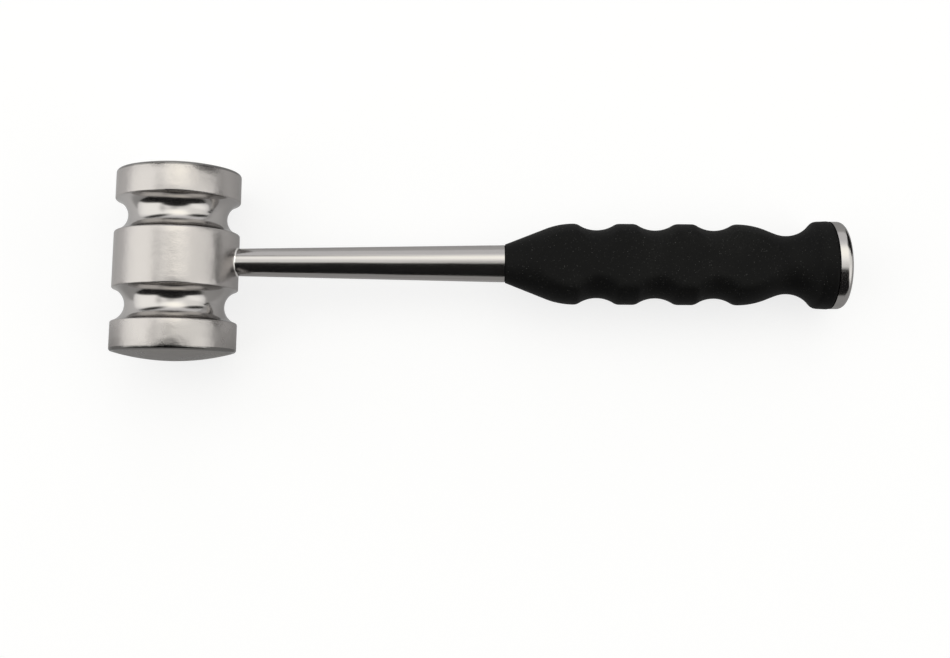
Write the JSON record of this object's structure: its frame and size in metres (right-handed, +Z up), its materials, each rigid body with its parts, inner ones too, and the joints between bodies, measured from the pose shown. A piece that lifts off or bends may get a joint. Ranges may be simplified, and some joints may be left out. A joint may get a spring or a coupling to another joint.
{
  "type": "surgical mallet",
  "caption": "Solid steel bone mallet: waisted round head with crowned faces, tapered stem and a moulded finger grip closed by a steel end cap.",
  "frame": {"origin": "on the ground, under the middle of the mallet's length, in its plane of symmetry, as it lies at rest on its side", "axes": "+X along the handle from the head towards the end cap (seen from above), +Y along the head's axis from face to face, +Z up"},
  "size_m": [0.26, 0.0702, 0.0438],
  "materials": {
    "satin_steel": "fine bead-blasted satin",
    "polished_steel": "polished",
    "silicone": "matte, with fine dust"
  },
  "bodies": {
    "root": {"head": "satin_steel", "shaft": "polished_steel", "grip": "silicone", "end_cap": "polished_steel"}
  },
  "joints": []
}
